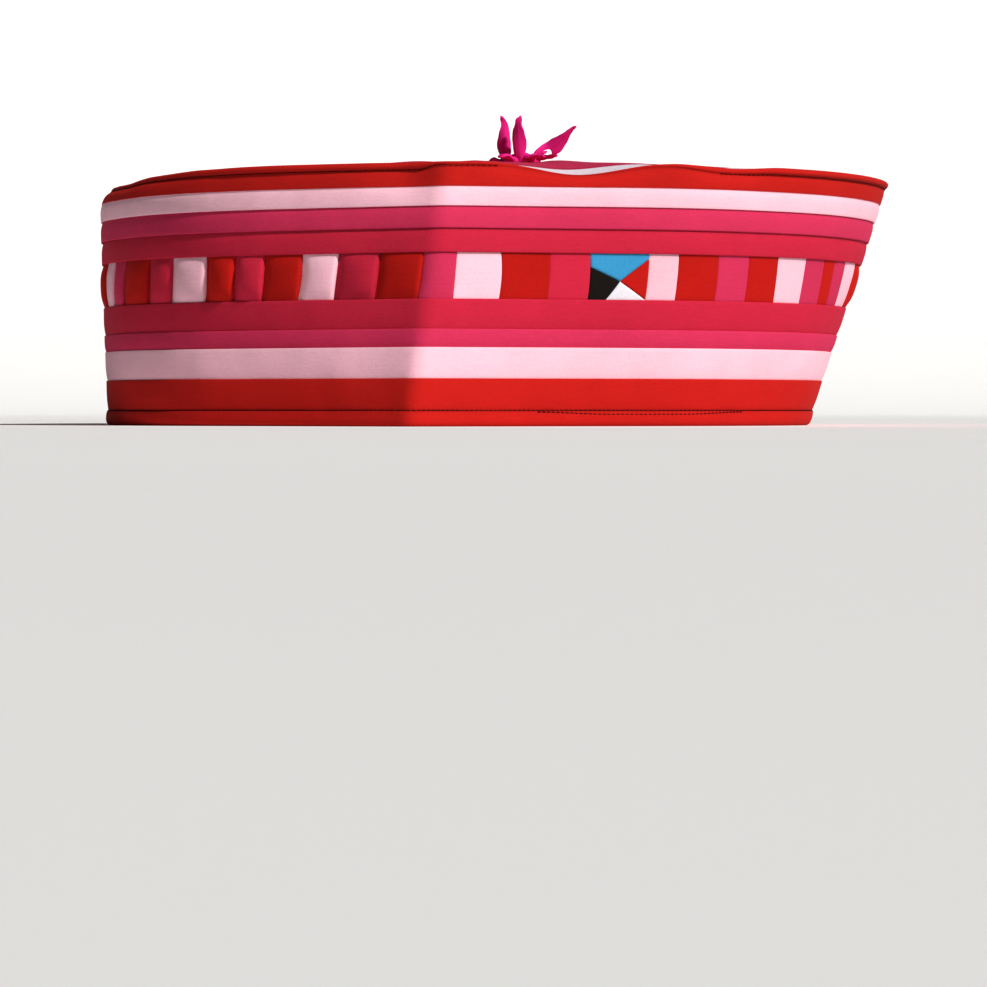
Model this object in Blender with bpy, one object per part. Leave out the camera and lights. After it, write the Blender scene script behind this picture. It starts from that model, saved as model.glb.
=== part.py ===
"""A patchwork taqiyah: a soft pillbox cap of sewn cloth strips with a creased front,
a band of small patches, a low domed crown and a tuft of cloth petals on top.

The hem stands on z = 0 and the crease points to -Y. Run it with Blender 4.5.
"""

import math

import bmesh
import bpy
from mathutils import Vector

MM = 0.001

# Plan of the wall, at the hem and at the top edge
HALF_WIDTH = 92.5 * MM
HALF_DEPTH = 95 * MM
SIDE_FLARE = 11 * MM
FRONT_FLARE = 2 * MM
FACET_ANGLE_HEM = math.radians(29)
FACET_ANGLE_TOP = math.radians(15)
CREASE_RADIUS = 9 * MM
SIDEWAYS_LEAN = 9.5 * MM
BAND_HEIGHT = 63.5 * MM

# Cloth thicknesses, measured inwards from the wall's outer face
GAP = 0.3 * MM
STRIP_THICKNESS = 1.1 * MM
STRIP_STEP = 0.35 * MM
BAND_THICKNESS = 1.2 * MM
CROWN_THICKNESS = 1.2 * MM
SEAM_GROOVE = 0.5 * MM
EDGE_ROUND = 0.4 * MM
HEM_FLOOR = 0.9 * MM

# Strips round the wall, from the hem up: node, colour and finished height. Those below
# the patches have their upper edge folded and proud, those above them the lower edge
HEM_HEIGHT = 3.7 * MM
STRIPS = [
    ("red_strip_lower", "red", 7.9 * MM),
    ("light_pink_strip_lower", "light_pink", 7.5 * MM),
    ("magenta_strip_lower", "magenta", 4.4 * MM),
    ("crimson_strip_lower", "crimson", 7.2 * MM),
    ("patchwork_band", "patch_red", 11.1 * MM),
    ("crimson_strip_upper", "crimson", 5.8 * MM),
    ("magenta_strip_upper", "magenta", 5.3 * MM),
    ("light_pink_strip_upper", "light_pink", 4.7 * MM),
    ("red_strip_upper", "red", 3.8 * MM),
]
TOP_STRIP_MIDDLE = 59.6 * MM

# The rolled edge on top is a little wider than tall
ROLL_RADIUS = 0.9 * MM
ROLL_WIDENING = 1.25
ROLL_SIDES = 6

# Patches of the pieced band, in millimetres along it from the crease's left seam
FIRST_SEAM = -2.6 * MM
RIGHT_PATCHES = [8.6, 11.3, 12.1, 10.1, 14.9, 7.9, 11.7, 9.6, 10.4, 11.3, 9.7, 6.5, 8.1, 11.0]
LEFT_PATCHES = [12.3, 11.3, 10.0, 10.8, 8.8, 9.3, 12.3, 10.3, 13.9, 9.5, 8.5, 9.0]
BACK_PATCH = 10.7 * MM
BLOCK_PATCH = 4
PATCH_ROUNDING = 0.16

# The block of four rough triangles, which meet off its middle: their corners, as shares
# of its width and height
BLOCK_MEETING = (0.52, 0.40)
BLOCK_TRIANGLES = [
    ("block_blue_triangle", "blue", [(0, 0.70), BLOCK_MEETING, (1, 0.90), (1, 1), (0, 1)]),
    ("block_black_triangle", "black", [(0, 0), (0.31, 0), BLOCK_MEETING, (0, 0.70)]),
    ("block_red_triangle", "patch_red", [(1, 0), (1, 0.90), BLOCK_MEETING]),
    ("block_white_triangle", "white", [(0.31, 0), (1, 0), BLOCK_MEETING]),
]

# Where the soft top edge rolls inwards: centre and half length along the wall,
# the height that rolls, and the angle that it turns through
EDGE_FOLDS = [
    {"centre": -118 * MM, "reach": 80 * MM, "height": 7.2 * MM, "turn": math.radians(80)},
    {"centre": -168 * MM, "reach": 62 * MM, "height": 10.6 * MM, "turn": math.radians(82)},
    {"centre": 31 * MM, "reach": 25 * MM, "height": 6.4 * MM, "turn": math.radians(94)},
    {"centre": 69 * MM, "reach": 16 * MM, "height": 5.6 * MM, "turn": math.radians(58)},
    {"centre": 215 * MM, "reach": 60 * MM, "height": 7.0 * MM, "turn": math.radians(40)},
]

# Shallow dents in the wall: centre along it and up it, half sizes, and depth
DENTS = [
    {"along": -9 * MM, "up": 57 * MM, "half": 13 * MM, "tall": 11 * MM, "depth": 1.5 * MM},
    {"along": -62 * MM, "up": 26 * MM, "half": 34 * MM, "tall": 24 * MM, "depth": 1.0 * MM},
    {"along": 96 * MM, "up": 12 * MM, "half": 30 * MM, "tall": 16 * MM, "depth": 0.9 * MM},
    {"along": 205 * MM, "up": 30 * MM, "half": 45 * MM, "tall": 26 * MM, "depth": 1.4 * MM},
]

# Crown: a pale ring inside the top edge and a gathered centre, which lies a little to
# the right of the middle
CENTRE_OFFSET = 5 * MM
PALE_RING_SHARE = 0.15
DOME_RISE = 4.5 * MM
DOME_FULLNESS = 1.5
GATHERS = 14
GATHER_DEPTH = 0.5 * MM
CROWN_ROWS = [0.155, 0.30, 0.50, 0.72, 0.90, 1.0]
# Shares of the way in: where the edge's dips have evened out, and where gathers fade
DIPS_END = 0.3
GATHERS_RISE = 0.5
GATHERS_FADE = 0.2

# Tuft: a cloth button with one petal on each of its sides
BUTTON_SIDES = 10
BUTTON_RADIUS = 4.2 * MM
BUTTON_TAPER = 0.85
BUTTON_HEIGHT = 2.6 * MM
TUFT_OFFSET = 2.5 * MM
PETAL_THICKNESS = 1.3 * MM
PETAL_ROWS = [0.25, 0.5, 0.75, 1.0]
PETAL_ROOT_WIDTH = 0.54
PETAL_SWELL = 1.0
PETAL_NARROWING = 0.8
PETAL_POINT = 2.2
# The share of a petal's length at which it has its whole twist
TWIST_END = 0.75
# Petals by side: length, how steeply the root and the tip rise, width and twist
PETALS = [
    {"length": 6.0, "root": 8, "tip": 16, "width": 4.0, "twist": 6},
    {"length": 6.5, "root": 16, "tip": 36, "width": 4.0, "twist": -15},
    {"length": 9.0, "root": 40, "tip": 78, "width": 4.4, "twist": 14},
    {"length": 6.5, "root": 16, "tip": 34, "width": 4.0, "twist": 12},
    {"length": 5.5, "root": 4, "tip": 14, "width": 3.4, "twist": 6},
    {"length": 12.5, "root": 56, "tip": 98, "width": 5.4, "twist": 55},
    {"length": 5.5, "root": 4, "tip": 14, "width": 3.4, "twist": -6},
    {"length": 12.0, "root": 62, "tip": 94, "width": 4.8, "twist": -12},
    {"length": 5.5, "root": 6, "tip": 14, "width": 4.0, "twist": 6},
    {"length": 15.5, "root": 30, "tip": 52, "width": 5.0, "twist": -75},
]

COLUMNS = 56
SHARP_ANGLE = math.radians(40)

# Colour and roughness of each cloth
CLOTHS = {
    "red": ((0.66, 0.022, 0.018), 0.72),
    "light_pink": ((0.96, 0.63, 0.68), 0.75),
    "magenta": ((0.80, 0.045, 0.12), 0.70),
    "crimson": ((0.70, 0.028, 0.050), 0.72),
    "patch_red": ((0.62, 0.012, 0.010), 0.70),
    "blue": ((0.053, 0.40, 0.68), 0.70),
    "black": ((0.022, 0.018, 0.016), 0.80),
    "white": ((0.88, 0.86, 0.86), 0.75),
    "pale_pink": ((0.90, 0.76, 0.82), 0.75),
    "hot_pink": ((0.80, 0.019, 0.25), 0.65),
    "backing": ((0.22, 0.010, 0.012), 0.80),
}


def smooth(share):
    """An S-shaped ramp that goes from 0 to 1."""
    share = min(1, max(0, share))
    return share * share * (3 - 2 * share)


def bump(distance, reach):
    """A soft hill, 1 at its centre and 0 past its reach."""
    return smooth(1 - abs(distance) / reach)


def quarter_runs(height):
    """The crease's rounding, the flat facet and the side arc: length and turn of each.
    The facet and the arc's radius follow from the half width and half depth there."""
    share = height / BAND_HEIGHT
    angle = FACET_ANGLE_HEM + (FACET_ANGLE_TOP - FACET_ANGLE_HEM) * share
    width = HALF_WIDTH + SIDE_FLARE * share - CREASE_RADIUS * math.sin(angle)
    depth = HALF_DEPTH + FRONT_FLARE * share - CREASE_RADIUS * (1 - math.cos(angle))
    left_over = 1 - math.sin(angle)
    facet = width * math.cos(angle) / left_over - depth
    arc_radius = (depth * math.cos(angle) - width * math.sin(angle)) / left_over
    side_turn = math.pi / 2 - angle
    return [(CREASE_RADIUS * angle, angle), (facet, 0), (arc_radius * side_turn, side_turn)]


def half_depth(height):
    return HALF_DEPTH + FRONT_FLARE * height / BAND_HEIGHT


def perimeter(height):
    return 4 * sum(length for length, turn in quarter_runs(height))


def along_quarter(distance, runs):
    """The point and heading at a distance from the crease, which is at the origin."""
    place, heading = Vector((0, 0)), 0
    for length, turn in runs:
        step = min(distance, length)
        bend = turn * step / length
        chord = step if abs(bend) < 1e-9 else step * math.sin(bend / 2) / (bend / 2)
        middle = heading + bend / 2
        place = place + chord * Vector((math.cos(middle), math.sin(middle)))
        heading += bend
        distance -= step
    return place, heading


def plan_point(turn, height):
    """The wall's outer face in plan, and its outward normal, at a share of the way round.
    It starts at the front crease and goes by the right side, the back and the left side."""
    runs = quarter_runs(height)
    length = perimeter(height) / 4
    quarter, share = divmod((turn % 1) * 4, 1)
    mirrored = quarter in (1, 3)
    place, heading = along_quarter((1 - share if mirrored else share) * length, runs)
    x, y = place.x, place.y - half_depth(height)
    normal = Vector((math.sin(heading), -math.cos(heading)))
    right = 1 if quarter < 2 else -1
    front = 1 if quarter in (0, 3) else -1
    return Vector((right * x, front * y)), Vector((right * normal.x, front * normal.y))


def signed_along(turn):
    """The distance from the front crease at mid height, right positive, left negative."""
    turn = turn % 1
    return (turn if turn <= 0.5 else turn - 1) * perimeter(BAND_HEIGHT / 2)


def edge_fold(turn):
    """How much of the wall's top rolls inwards at this place, and through what angle.
    The nearest fold has the say, and a trace of each keeps the average defined."""
    total, height, angle = 0, 0, 0
    for fold in EDGE_FOLDS:
        share = bump(signed_along(turn) - fold["centre"], fold["reach"])
        say = (share + 0.001) ** 3
        total += say
        height += say * fold["height"]
        angle = max(angle, share * fold["turn"])
    return height / total, angle


def dent_depth(turn, height):
    depth = 0
    for dent in DENTS:
        beside = bump(signed_along(turn) - dent["along"], dent["half"])
        depth += dent["depth"] * beside * bump(height - dent["up"], dent["tall"])
    return depth


def wall_point(turn, height, offset):
    """A point of the wall: up it by height, and off its outer face by offset."""
    rolled, angle = edge_fold(turn)
    start = BAND_HEIGHT - rolled
    over = max(0, height - start)
    place, normal = plan_point(turn, min(height, BAND_HEIGHT))
    bend = angle * over / rolled
    inwards, up = 0, height
    if bend > 1e-6:
        radius = rolled / angle
        inwards = radius * (1 - math.cos(bend))
        up = start + radius * math.sin(bend)
    away = offset * math.cos(bend) - inwards - dent_depth(turn, height)
    flat = place + normal * away
    lean = SIDEWAYS_LEAN * height / BAND_HEIGHT
    return Vector((flat.x + lean, flat.y, up + offset * math.sin(bend)))


def cloth(name):
    """The material of one cloth, made once."""
    if name in bpy.data.materials:
        return bpy.data.materials[name]
    colour, roughness = CLOTHS[name]
    material = bpy.data.materials.new(name)
    material.use_nodes = True
    shader = material.node_tree.nodes["Principled BSDF"]
    shader.inputs["Base Color"].default_value = (*colour, 1)
    shader.inputs["Roughness"].default_value = roughness
    shader.inputs["Metallic"].default_value = 0
    return material


def finish(bm, name, cloth_name):
    """Closes the mesh's seams, turns its faces outwards and links it as an object.
    Quads are split along their shorter diagonal, so that layers of cloth stay parallel."""
    bmesh.ops.remove_doubles(bm, verts=bm.verts, dist=0.001 * MM)
    bmesh.ops.recalc_face_normals(bm, faces=bm.faces)
    bmesh.ops.triangulate(bm, faces=bm.faces, quad_method="SHORT_EDGE")
    mesh = bpy.data.meshes.new(name)
    bm.to_mesh(mesh)
    bm.free()
    mesh.shade_smooth()
    mesh.set_sharp_from_angle(angle=SHARP_ANGLE)
    mesh.materials.append(cloth(cloth_name))
    part = bpy.data.objects.new(name, mesh)
    bpy.context.scene.collection.objects.link(part)
    return part


def cut_cloth(rows, columns):
    """A flat grid, and its vertices with their row and column."""
    bm = bmesh.new()
    bmesh.ops.create_grid(bm, x_segments=columns, y_segments=rows, size=1)
    places = []
    for vert in bm.verts:
        column = round((vert.co.x + 1) / 2 * columns)
        row = round((vert.co.y + 1) / 2 * rows)
        places.append((vert, row, column))
    return bm, places


def sewn_ring(name, cloth_name, section, place):
    """A ring whose section is a list of points, closed, carried round the cap by place."""
    bm, places = cut_cloth(len(section), COLUMNS)
    for vert, row, column in places:
        vert.co = place((column % COLUMNS) / COLUMNS, *section[row % len(section)])
    return finish(bm, name, cloth_name)


def strip_section(low, high, proud):
    """A strip's section, which stands off at its proud edge, where the cloth is folded
    under. The top strip has a row more, because it follows the folds of the edge."""
    levels = [low, high] if high < TOP_STRIP_MIDDLE else [low, TOP_STRIP_MIDDLE, high]
    section = []
    for level in levels:
        from_fold = abs(level - proud) / (high - low)
        section.append((level, STRIP_STEP * (1 - from_fold)))
    return section + [(level, -STRIP_THICKNESS) for level in reversed(levels)]


def make_hem():
    """The binding that wraps the wall's lower edge, with a flat underside on z = 0."""
    inner = -STRIP_THICKNESS - 2 * GAP - BAND_THICKNESS
    section = [
        (HEM_HEIGHT - GAP / 2, STRIP_STEP),
        (EDGE_ROUND, STRIP_STEP),
        (0, STRIP_STEP - EDGE_ROUND),
        (0, inner),
        (EDGE_ROUND, inner - EDGE_ROUND),
        (HEM_HEIGHT, inner - EDGE_ROUND),
        (HEM_HEIGHT, inner),
        (HEM_FLOOR, inner),
        (HEM_FLOOR, -STRIP_THICKNESS),
        (HEM_HEIGHT - GAP / 2, -STRIP_THICKNESS),
    ]
    sewn_ring("hem_binding", "red", section, wall_point)


def make_inner_band():
    """The backing that all the strips are sewn to."""
    outer = -STRIP_THICKNESS - GAP
    inner = outer - BAND_THICKNESS
    levels = [HEM_FLOOR + GAP, HEM_HEIGHT]
    for node, cloth_name, height in STRIPS[:-1]:
        levels.append(levels[-1] + height)
    levels.append(TOP_STRIP_MIDDLE)
    section = [(level, outer) for level in levels]
    section += [(level, inner) for level in reversed(levels)]
    sewn_ring("inner_band", "backing", section, wall_point)


def make_top_roll():
    """The rolled edge that closes the wall's top against the crown."""
    section = []
    for side in range(ROLL_SIDES):
        angle = math.tau * side / ROLL_SIDES
        up = BAND_HEIGHT - ROLL_RADIUS + ROLL_RADIUS * math.sin(angle)
        out = -STRIP_THICKNESS / 2 + ROLL_WIDENING * ROLL_RADIUS * math.cos(angle)
        section.append((up, out))
    sewn_ring("top_binding", "red", section, wall_point)


def patch_seams(band_length):
    """Where the seams between patches lie along the band, from the block's right edge
    round to its left edge, so that the band is one strip that starts and ends there."""
    right = [FIRST_SEAM]
    for width in RIGHT_PATCHES:
        right.append(right[-1] + width * MM)
    left = [FIRST_SEAM]
    for width in LEFT_PATCHES:
        left.append(left[-1] - width * MM)
    back_start, back_end = right[-1], band_length + left[-1]
    count = round((back_end - back_start) / BACK_PATCH)
    step = (back_end - back_start) / count
    back = [back_start + step * number for number in range(1, count)]
    front = right[: BLOCK_PATCH + 1]
    after_block = right[BLOCK_PATCH + 1 :]
    left = [band_length + seam for seam in reversed(left)]
    return after_block + back + left + [band_length + seam for seam in front[1:]]


def make_patchwork(low, high):
    """The pieced band, open where the four-triangle block sits, and the block itself."""
    band_length = perimeter((low + high) / 2)
    seams = patch_seams(band_length)
    stops = []
    for start, end in zip(seams[:-1], seams[1:]):
        soft = PATCH_ROUNDING * (end - start)
        stops += [(start, -SEAM_GROOVE), (start + soft, STRIP_STEP), (end - soft, STRIP_STEP)]
    stops.append((seams[-1], -SEAM_GROOVE))
    stops[0] = (stops[0][0] + GAP, stops[0][1])
    stops[-1] = (stops[-1][0] - GAP, stops[-1][1])
    bm, places = cut_cloth(4, len(stops) - 1)
    for vert, row, column in places:
        along, face = stops[column]
        section = [(low, -STRIP_THICKNESS), (low, face), (high, face), (high, -STRIP_THICKNESS)]
        vert.co = wall_point(along / band_length, *section[row % 4])
    bmesh.ops.remove_doubles(bm, verts=bm.verts, dist=0.001 * MM)
    ends = [edge for edge in bm.edges if edge.is_boundary]
    bmesh.ops.holes_fill(bm, edges=ends)
    finish(bm, "patchwork_band", "patch_red")

    left_edge = seams[-1] - band_length
    width = seams[0] - left_edge
    for name, cloth_name, corners in BLOCK_TRIANGLES:
        make_triangle(name, cloth_name, corners, left_edge, width, low, high, band_length)


def make_triangle(name, cloth_name, corners, left_edge, width, low, high, band_length):
    """One piece of the block: a flat prism, drawn in from its seams, then laid on the wall."""
    outline = [Vector((across * width, up * (high - low))) for across, up in corners]
    middle = sum(outline, Vector((0, 0))) / len(outline)
    bm = bmesh.new()
    layers = []
    for depth in (-STRIP_THICKNESS, STRIP_STEP):
        layer = []
        for corner in outline:
            flat = corner + (middle - corner).normalized() * 2 * GAP
            layer.append(bm.verts.new((flat.x, flat.y, depth)))
        layers.append(layer)
        bm.faces.new(layer)
    under, over = layers
    for side in range(len(outline)):
        bm.faces.new((under[side - 1], under[side], over[side], over[side - 1]))
    across = [edge for edge in bm.edges if abs(edge.verts[0].co.z - edge.verts[1].co.z) < GAP]
    bmesh.ops.subdivide_edges(bm, edges=across, cuts=3, use_grid_fill=True)
    for vert in bm.verts:
        turn = (left_edge + vert.co.x) / band_length
        vert.co = wall_point(turn, low + vert.co.y, vert.co.z)
    finish(bm, name, cloth_name)


def crown_centre():
    return Vector((SIDEWAYS_LEAN + CENTRE_OFFSET, 0))


def crown_point(turn, share, depth):
    """A point of the crown: share runs from the top edge, 0, to the middle, 1."""
    edge = wall_point(turn, BAND_HEIGHT - ROLL_RADIUS, -STRIP_THICKNESS / 2)
    place, normal = plan_point(turn, BAND_HEIGHT)
    edge -= (normal * (ROLL_WIDENING * ROLL_RADIUS + GAP)).to_3d()
    edge.z += CROWN_THICKNESS / 2
    flat = edge.xy.lerp(crown_centre(), share)
    level = edge.z + (BAND_HEIGHT - edge.z) * smooth(share / DIPS_END)
    rise = DOME_RISE * (1 - (1 - share) ** DOME_FULLNESS)
    pleat = GATHER_DEPTH * math.cos(math.tau * GATHERS * turn)
    pleat *= smooth((share - PALE_RING_SHARE) / GATHERS_RISE) * smooth((1 - share) / GATHERS_FADE)
    return Vector((flat.x, flat.y, level + rise + pleat - depth))


def make_crown():
    """The pale ring next to the edge, and the centre sewn inside it."""
    ring_end = PALE_RING_SHARE
    shares = [0, 0.4 * ring_end, ring_end]
    section = [(share, 0) for share in shares]
    section += [(share, CROWN_THICKNESS) for share in reversed(shares)]
    sewn_ring("crown_pale_ring", "pale_pink", section, crown_point)

    section = [(share, 0) for share in reversed(CROWN_ROWS)]
    section += [(share, CROWN_THICKNESS) for share in CROWN_ROWS]
    bm, places = cut_cloth(len(section) - 1, COLUMNS)
    for vert, row, column in places:
        vert.co = crown_point((column % COLUMNS) / COLUMNS, *section[row])
    finish(bm, "crown_centre", "magenta")


def petal_frame(petal, outward, share):
    """The middle of a petal's cross-section, its width direction and its own normal."""
    root, tip = math.radians(petal["root"]), math.radians(petal["tip"])
    steps = 6
    spot = Vector((0, 0, 0))
    for step in range(steps):
        rise = root + (tip - root) * share * (step + 0.5) / steps
        heading = outward * math.cos(rise) + Vector((0, 0, math.sin(rise)))
        spot += heading * petal["length"] * MM * share / steps
    rise = root + (tip - root) * share
    normal = Vector((0, 0, math.cos(rise))) - outward * math.sin(rise)
    across = Vector((0, 0, 1)).cross(outward)
    twist = math.radians(petal["twist"]) * smooth(share / TWIST_END)
    return spot, across * math.cos(twist) + normal * math.sin(twist), (
        normal * math.cos(twist) - across * math.sin(twist)
    )


def petal_width(petal, share):
    """A leaf shape: it swells from its root and narrows to a blunt tip."""
    swell = PETAL_ROOT_WIDTH + PETAL_SWELL * share * (1 - share)
    return petal["width"] * MM * swell * (1 - PETAL_NARROWING * share**PETAL_POINT)


def make_tuft():
    """The button and its petals, in one piece: each side of the button is drawn out."""
    bm = bmesh.new()
    bmesh.ops.create_cone(
        bm,
        cap_ends=True,
        segments=BUTTON_SIDES,
        radius1=BUTTON_RADIUS,
        radius2=BUTTON_TAPER * BUTTON_RADIUS,
        depth=BUTTON_HEIGHT,
    )
    sides = [face for face in bm.faces if abs(face.normal.z) < 0.7]
    sides.sort(key=lambda face: math.atan2(face.normal.y, face.normal.x) % math.tau)
    for petal, side in zip(PETALS, sides):
        draw_petal(bm, petal, side)
    top = crown_point(0, 0.97, 0).z + GAP + BUTTON_HEIGHT / 2
    middle = crown_centre() + Vector((TUFT_OFFSET, 0))
    bmesh.ops.translate(bm, verts=bm.verts, vec=(middle.x, middle.y, top))
    finish(bm, "tuft", "hot_pink")


def draw_petal(bm, petal, side):
    """Draws one side of the button out into a petal, row by row from root to tip."""
    outward = Vector((side.normal.x, side.normal.y, 0)).normalized()
    root = side.calc_center_median()
    last_width, last_thick = Vector((0, 0, 1)).cross(outward), Vector((0, 0, 1))
    for share in PETAL_ROWS:
        side = bmesh.ops.extrude_discrete_faces(bm, faces=[side])["faces"][0]
        centre = side.calc_center_median()
        spot, width_way, thick_way = petal_frame(petal, outward, share)
        half_width = petal_width(petal, share) / 2
        half_thick = PETAL_THICKNESS / 2 * (1 - 0.5 * share)
        corners = [(vert, vert.co - centre) for vert in side.verts]
        for vert, arm in corners:
            sideways = half_width if arm.dot(last_width) > 0 else -half_width
            upwards = half_thick if arm.dot(last_thick) > 0 else -half_thick
            vert.co = root + spot + width_way * sideways + thick_way * upwards
        last_width, last_thick = width_way, thick_way


def centre_in_plan():
    """Moves every piece so that the middle of the whole cap is over the origin."""
    corners = [v.co for part in bpy.data.objects for v in part.data.vertices]
    shift = Vector((0, 0, 0))
    for axis in (0, 1):
        values = [corner[axis] for corner in corners]
        shift[axis] = -(min(values) + max(values)) / 2
    for part in bpy.data.objects:
        for vert in part.data.vertices:
            vert.co += shift


def main():
    for item in list(bpy.data.objects):
        bpy.data.objects.remove(item)
    make_hem()
    make_inner_band()
    low = HEM_HEIGHT
    below_patches = True
    for node, cloth_name, height in STRIPS:
        bottom, top = low + GAP / 2, low + height - GAP / 2
        if node == "patchwork_band":
            make_patchwork(bottom, top)
            below_patches = False
        else:
            section = strip_section(bottom, top, top if below_patches else bottom)
            sewn_ring(node, cloth_name, section, wall_point)
        low += height
    make_top_roll()
    make_crown()
    make_tuft()
    centre_in_plan()


main()
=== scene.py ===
"""The looks of a patchwork taqiyah: lapped cloth strips, pieced patches, a stitched hem,
a rolled rim, a gathered crown and a tuft of cloth petals, on a pale studio floor.

Lengths are in metres. Heights go up the wall from the hem, offsets go outwards from the
wall's outer face, and a turn is a share of the way round, from the crease by the right.
"""

import math
import random
from collections import namedtuple
from functools import cache

import bmesh
import bpy
from mathutils import Matrix, Vector, noise


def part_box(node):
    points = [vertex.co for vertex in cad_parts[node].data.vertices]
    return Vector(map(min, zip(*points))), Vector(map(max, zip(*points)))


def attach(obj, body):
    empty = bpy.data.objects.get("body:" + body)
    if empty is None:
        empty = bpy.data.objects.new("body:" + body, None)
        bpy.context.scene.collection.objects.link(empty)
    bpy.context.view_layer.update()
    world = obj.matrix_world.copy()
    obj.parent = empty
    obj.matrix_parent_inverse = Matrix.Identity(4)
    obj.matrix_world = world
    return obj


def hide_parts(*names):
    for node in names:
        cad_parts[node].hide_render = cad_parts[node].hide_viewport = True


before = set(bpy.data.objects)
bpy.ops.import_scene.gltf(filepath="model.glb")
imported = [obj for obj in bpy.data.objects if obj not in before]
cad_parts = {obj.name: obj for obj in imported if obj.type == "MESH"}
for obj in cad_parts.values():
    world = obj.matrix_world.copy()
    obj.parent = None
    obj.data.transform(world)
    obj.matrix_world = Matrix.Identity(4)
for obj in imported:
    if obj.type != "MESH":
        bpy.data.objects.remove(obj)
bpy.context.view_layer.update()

MM = 0.001

# The wall's plan and height, as in the solids, but for a crease that is sharper at the hem
HALF_WIDTH = 92.5 * MM
HALF_DEPTH = 95 * MM
SIDE_FLARE = 11 * MM
FRONT_FLARE = 2 * MM
FACET_ANGLE_HEM = math.radians(29)
FACET_ANGLE_TOP = math.radians(15)
CREASE_RADIUS_HEM = 3.5 * MM
CREASE_RADIUS_TOP = 9 * MM
SIDEWAYS_LEAN = 9.5 * MM
BAND_HEIGHT = 63.5 * MM

# The layers, as in the solids
GAP = 0.3 * MM
STRIP_THICKNESS = 1.1 * MM
STRIP_STEP = 0.35 * MM
BAND_THICKNESS = 1.2 * MM
CROWN_THICKNESS = 1.2 * MM
HEM_FLOOR = 0.9 * MM
INNER_BAND_TOP = 59.6 * MM
INNER_BAND_ROWS = 28
INNER_BAND_COLUMNS = 320

# Strips from the hem up: node, cloth, finished height, how strongly its lapping edge
# stands off, and how strongly its other edge is covered. The lapping edge is the upper
# one below the patches and the lower one above them
HEM_HEIGHT = 3.7 * MM
# The cover's strength also sets how dark the painted shadow of the lap is at the covered edge
STRIPS = [
    ("red_strip_lower", "red", 7.9 * MM, 0.5, 1.0),
    ("light_pink_strip_lower", "light_pink", 7.5 * MM, 0.4, 0.5),
    ("magenta_strip_lower", "magenta", 4.4 * MM, 0.5, 0.4),
    ("crimson_strip_lower", "crimson", 7.2 * MM, 0.6, 0.5),
    ("patchwork_band", "patch_red", 11.1 * MM, 0, 0),
    ("crimson_strip_upper", "crimson", 5.8 * MM, 0.9, 1.0),
    ("magenta_strip_upper", "magenta", 5.3 * MM, 1.0, 0.7),
    ("light_pink_strip_upper", "light_pink", 4.7 * MM, 0.7, 0.15),
    ("red_strip_upper", "red", 3.8 * MM, 0.2, 0.8),
]
# The top strip goes a little past its height, and from here up it grows where the rim is thin
TOP_STRIP_OVER = 0.2 * MM
TOP_STRIP_TUCK = 0.45 * MM
TOP_STRIP_GROWS_FROM = INNER_BAND_TOP - 2.3 * MM

# The hem's section in millimetres: height, offset and seam shade, from the folded top
# edge down the face, under, up the inside and back along the hidden side
HEM_SECTION = [
    (2.35, -0.16, 1), (3.45, -0.16, 1), (3.62, -0.10, 0.9), (3.70, 0.05, 0.8), (3.66, 0.20, 0.7),
    (3.50, 0.30, 0.55), (3.10, 0.38, 0.35), (2.60, 0.45, 0.1), (2.00, 0.50, 0), (1.40, 0.50, 0),
    (0.90, 0.42, 0), (0.50, 0.26, 0.1), (0.22, 0.03, 0.2), (0.06, -0.28, 0.4), (0, -0.65, 0.5),
    (0, -1.60, 0.5), (0, -2.55, 0.5), (0.10, -2.90, 0.4), (0.35, -3.15, 0.2), (0.80, -3.30, 0),
    (1.40, -3.36, 0), (2.00, -3.36, 0), (2.60, -3.32, 0.1), (3.20, -3.26, 0.3), (3.55, -3.18, 0.5),
    (3.70, -3.02, 0.7), (3.60, -2.86, 1), (2.40, -2.78, 1), (0.95, -2.76, 1), (0.95, -0.90, 1),
    (2.35, -0.72, 1),
]

# The rolled rim, a little wider than tall. It is thinner right of the crease, as far as
# the second dip of the edge
ROLL_RADIUS = 0.9 * MM
ROLL_WIDENING = 1.25
ROLL_SIDES = 14
THIN_ROLL_RADIUS = 0.42 * MM
THIN_START = -7.6 * MM
THIN_START_FADE = 6 * MM
THIN_END = 66 * MM
THIN_END_FADE = 14 * MM

# Widths of the patches in millimetres, from the seam left of the crease to the right and
# to the left, with their cloths. The block takes the place of one of them
FIRST_SEAM = -2.6 * MM
RIGHT_PATCHES = [8.6, 11.3, 12.1, 10.1, 14.9, 7.9, 11.7, 9.6, 10.4, 11.3, 9.7, 6.5, 8.1, 11.0]
LEFT_PATCHES = [12.3, 11.3, 10.0, 10.8, 8.8, 9.3, 12.3, 10.3, 13.9, 9.5, 8.5, 9.0]
BACK_PATCH = 10.7 * MM
BLOCK_PATCH = 4
RIGHT_CLOTHS = ["magenta", "light_pink", "patch_red", "crimson", "block", "light_pink", "patch_red"]
RIGHT_CLOTHS += ["magenta", "patch_red", "light_pink", "magenta", "patch_red", "magenta", "light_pink"]
LEFT_CLOTHS = ["patch_red", "crimson", "light_pink", "patch_red", "crimson", "patch_red"]
LEFT_CLOTHS += ["light_pink", "crimson", "patch_red", "magenta", "light_pink", "patch_red"]
BACK_CLOTHS = ["patch_red", "magenta", "crimson", "light_pink", "patch_red", "crimson", "light_pink"]

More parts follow.
